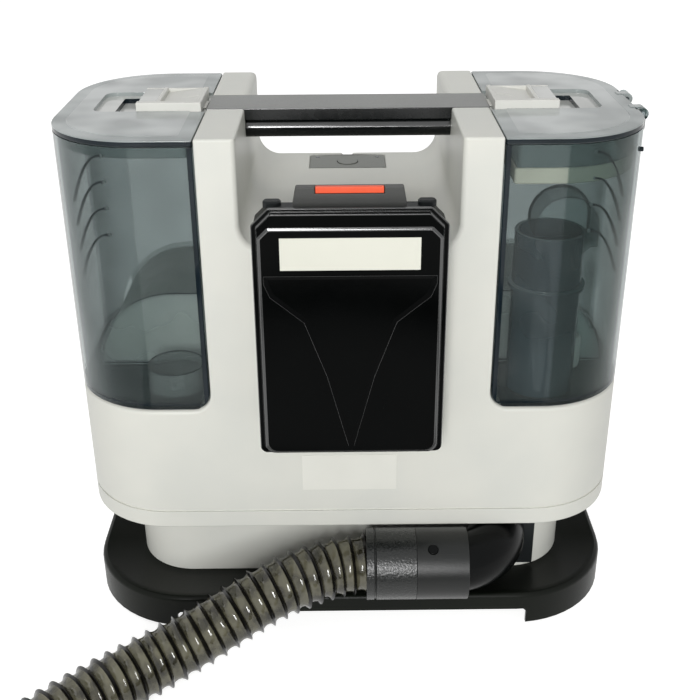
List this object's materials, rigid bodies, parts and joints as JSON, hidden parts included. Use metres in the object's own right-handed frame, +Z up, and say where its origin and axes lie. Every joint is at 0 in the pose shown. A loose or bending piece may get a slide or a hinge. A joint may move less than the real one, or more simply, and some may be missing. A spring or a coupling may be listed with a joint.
{
  "type": "carpet cleaner machine",
  "caption": "Portable battery carpet and upholstery cleaner with clean and recovery water tanks, carry handle, front battery pack, tray base and suction hose with hand tool.",
  "frame": {"origin": "middle of the tray base, on the floor it stands on", "axes": "+X to the machine's right seen from the front, towards the recovery tank; -Y to the front, where the battery pack is; +Z up"},
  "size_m": [0.458, 0.763, 0.3207],
  "materials": {
    "shell_grey": "satin light grey ABS",
    "trim_grey": "satin mid grey ABS",
    "black_plastic": "fine grained black",
    "gloss_black": "polished black",
    "handle_grey": "matte dark grey",
    "smoke_clear": "clear smoke tint",
    "white_plastic": "satin white",
    "orange_plastic": "satin orange",
    "rubber_black": "matte",
    "gasket_beige": "matte silicone",
    "hose_smoke": "clear smoke tint, ribbed",
    "steel": "brushed",
    "motor_metal": "brushed",
    "brass_contact": "polished",
    "board_green": "coated circuit board",
    "cell_wrap": "shrink sleeve over a metal can",
    "duct_grey": "moulded",
    "tube_clear": "clear soft tube",
    "lamp_white": "light pipe",
    "label_white": "printed film",
    "label_pale": "printed film"
  },
  "bodies": {
    "machine": {"base_tray": "black_plastic", "rubber_feet": "rubber_black", "waist_shell": "shell_grey", "bottom_plate": "trim_grey", "housing_front": "shell_grey", "housing_rear": "shell_grey", "housing_screws": "steel", "handle_grip": "gloss_black", "handle_cover": "handle_grey", "control_panel": "trim_grey", "panel_lamps": "lamp_white", "control_board": "board_green", "suction_motor": "motor_metal", "motor_bracket": "duct_grey", "fan_housing": "duct_grey", "suction_duct": "duct_grey", "recovery_duct": "duct_grey", "exhaust_grille": "trim_grey", "water_pump": "duct_grey", "pump_inlet_tube": "tube_clear", "pump_outlet_tube": "tube_clear", "battery_dock": "black_plastic", "dock_contacts": "brass_contact", "valve_socket": "duct_grey", "port_panel": "black_plastic", "hose_elbow": "gloss_black", "hose_connector": "black_plastic", "hose_cuff": "black_plastic", "hose_lead": "hose_smoke", "hose_coil": "hose_smoke", "tool_cuff": "black_plastic", "tool_body": "shell_grey", "tool_brush": "black_plastic", "rating_label": "label_pale"},
    "power_button": {"power_button": "trim_grey"},
    "impeller": {"impeller": "motor_metal"},
    "battery": {"battery_case": "black_plastic", "battery_cover": "gloss_black", "battery_cells": "cell_wrap", "battery_label": "label_white"},
    "battery_key": {"battery_key": "handle_grey", "key_strip": "orange_plastic"},
    "clean_tank": {"clean_tank": "smoke_clear", "valve_cap": "smoke_clear", "valve_spring": "steel"},
    "valve_plunger": {"valve_plunger": "white_plastic"},
    "clean_lid": {"clean_lid": "smoke_clear"},
    "clean_latch": {"clean_latch": "white_plastic"},
    "dirty_tank": {"dirty_tank": "smoke_clear", "hinge_pins": "steel", "standpipe": "smoke_clear", "deflector_hood": "smoke_clear", "float_guide": "smoke_clear"},
    "dirty_lid": {"dirty_lid": "smoke_clear", "lid_gasket": "gasket_beige"},
    "dirty_latch": {"dirty_latch": "white_plastic"},
    "tank_float": {"tank_float": "white_plastic"},
    "release_button": {"release_button": "black_plastic"},
    "tool_trigger": {"tool_trigger": "black_plastic"}
  },
  "joints": [
    {"name": "power_button_press", "type": "slide", "parent": "machine", "child": "power_button", "axis": [0, 0.0465, -0.9989], "range_m": [0, 0.0012], "stiffness_N_per_m": 400, "springref_m": -0.001},
    {"name": "impeller_spin", "type": "hinge", "parent": "machine", "child": "impeller", "pos_m": [0, 0.014, 0.163], "axis": [0, 0, 1], "continuous": true},
    {"name": "battery_slide", "type": "slide", "parent": "machine", "child": "battery", "axis": [0, 0, 1], "range_m": [0, 0.12]},
    {"name": "battery_key_press", "type": "slide", "parent": "battery", "child": "battery_key", "axis": [0, 0, -1], "range_m": [0, 0.003], "stiffness_N_per_m": 500, "springref_m": -0.002},
    {"name": "clean_tank_lift", "type": "slide", "parent": "machine", "child": "clean_tank", "axis": [0, 0, 1], "range_m": [0, 0.2]},
    {"name": "clean_lid_lift", "type": "slide", "parent": "clean_tank", "child": "clean_lid", "axis": [0, 0, 1], "range_m": [0, 0.05]},
    {"name": "clean_latch_slide", "type": "slide", "parent": "clean_lid", "child": "clean_latch", "axis": [-1, 0, 0], "range_m": [-0.002, 0.01]},
    {"name": "valve_plunger_lift", "type": "slide", "parent": "clean_tank", "child": "valve_plunger", "axis": [0, 0, 1], "range_m": [0, 0.003], "stiffness_N_per_m": 200, "springref_m": -0.002, "deforming": ["valve_spring"]},
    {"name": "dirty_tank_lift", "type": "slide", "parent": "machine", "child": "dirty_tank", "axis": [0, 0, 1], "range_m": [0, 0.2]},
    {"name": "dirty_lid_hinge", "type": "hinge", "parent": "dirty_tank", "child": "dirty_lid", "pos_m": [0.1725, 0, 0.3124], "axis": [0, 1, 0], "range_deg": [0, 105]},
    {"name": "dirty_latch_slide", "type": "slide", "parent": "dirty_lid", "child": "dirty_latch", "axis": [1, 0, 0], "range_m": [-0.002, 0.01]},
    {"name": "float_rise", "type": "slide", "parent": "dirty_tank", "child": "tank_float", "axis": [0, 0, 1], "range_m": [0, 0.024]},
    {"name": "release_button_press", "type": "slide", "parent": "machine", "child": "release_button", "axis": [0, 0.5299, -0.848], "range_m": [0, 0.0012], "stiffness_N_per_m": 300, "springref_m": -0.001},
    {"name": "tool_trigger_press", "type": "hinge", "parent": "machine", "child": "tool_trigger", "pos_m": [-0.024, -0.27, 0.045], "axis": [0, -1, 0], "range_deg": [0, 4], "stiffness_Nm_per_rad": 0.3, "springref_deg": -5.73}
  ]
}
